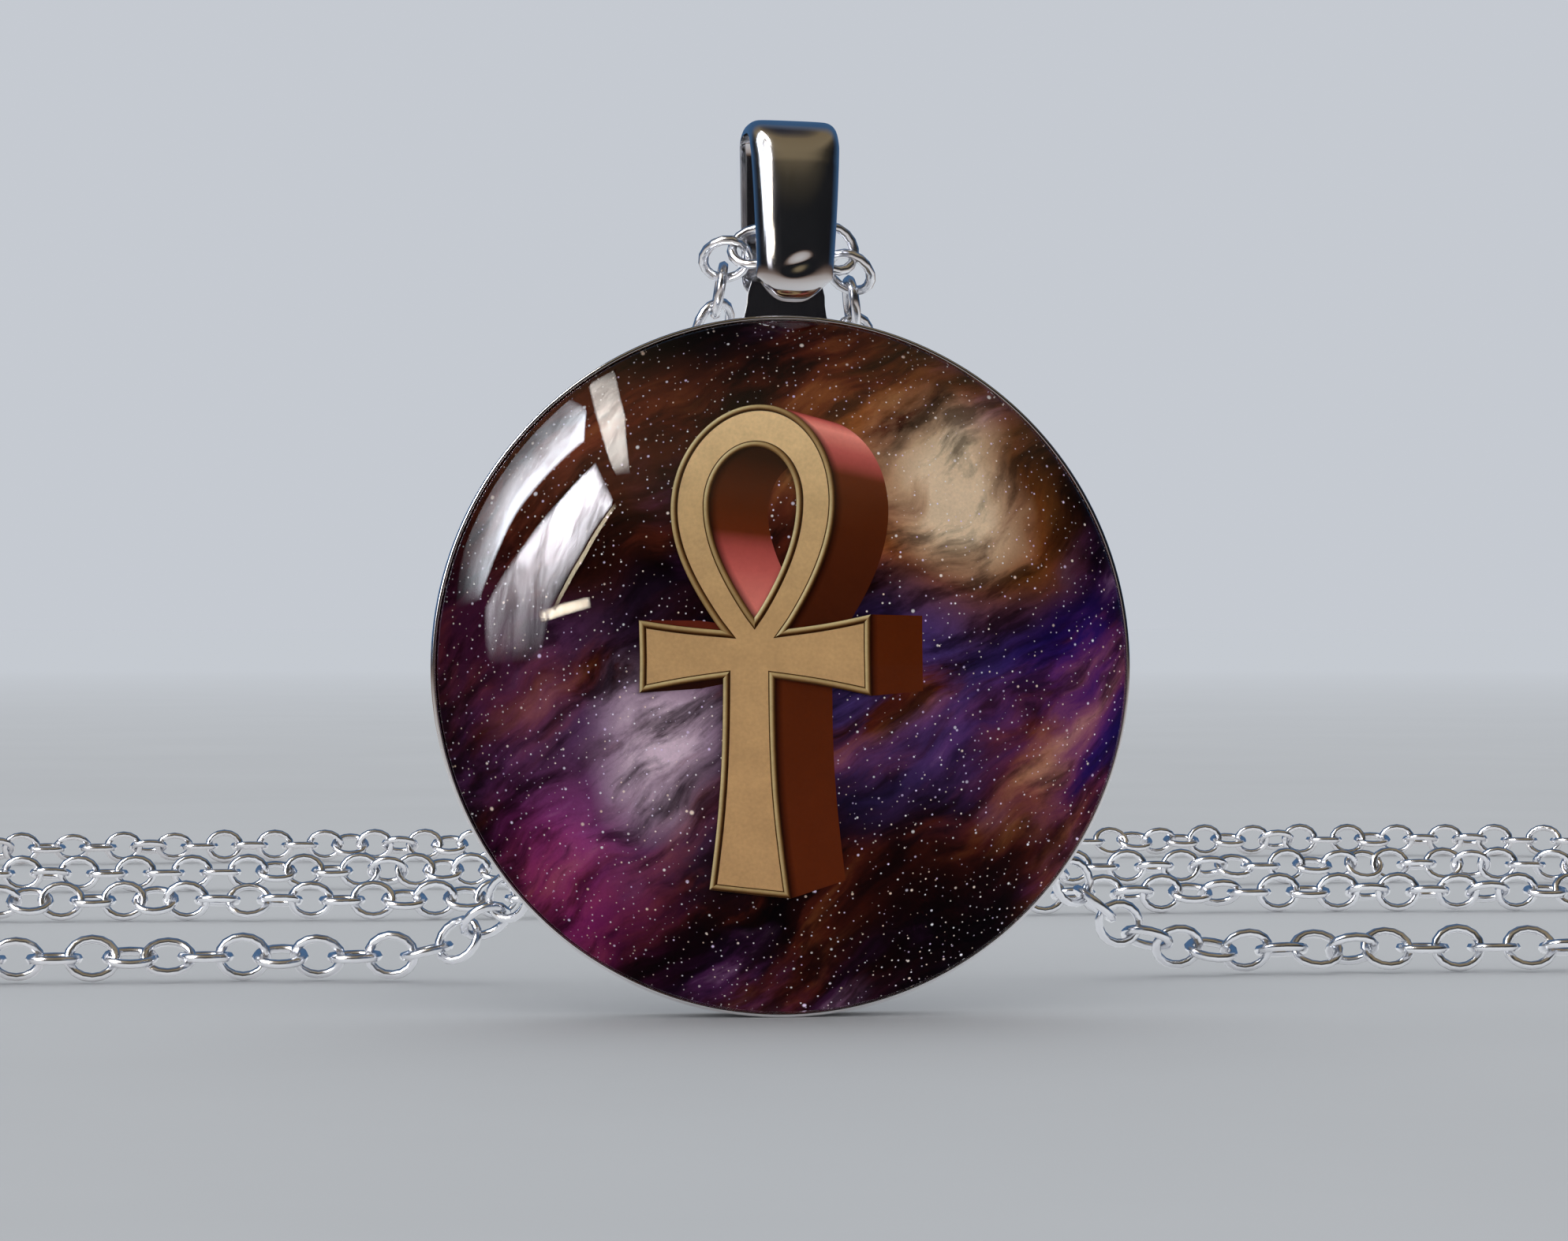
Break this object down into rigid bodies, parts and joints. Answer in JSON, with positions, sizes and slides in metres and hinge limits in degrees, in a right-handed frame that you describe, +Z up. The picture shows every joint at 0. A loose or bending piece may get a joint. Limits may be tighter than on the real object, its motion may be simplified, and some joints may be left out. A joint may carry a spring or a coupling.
{
  "type": "glass dome pendant necklace",
  "caption": "Round glass dome pendant with a printed ankh in a thin metal tray, standing on its edge, its tall bail on a whole loop of fine cable chain.",
  "frame": {"origin": "middle of the whole footprint, pendant and lying chain, on the surface that they stand on", "axes": "+Z up, the pendant's face towards -Y, +X to the right of one who looks at the face"},
  "size_m": [0.1374, 0.1046, 0.033],
  "materials": {
    "setting_metal": "polished plated metal, dark silver",
    "printed_card": "glossy print of clouds and stars in maroon, violet and gold",
    "dark_ink": "printed dark brown and rose",
    "gold_ink": "printed tan gold with a darker bead rim",
    "clear_glass": "clear, polished",
    "chain_metal": "polished silver plate"
  },
  "bodies": {
    "root": {"setting": "setting_metal", "picture_card": "printed_card", "ankh_sides": "dark_ink", "ankh_face": "gold_ink", "glass_dome": "clear_glass", "chain_left": "chain_metal", "chain_right": "chain_metal", "clasp": "chain_metal"}
  },
  "joints": []
}
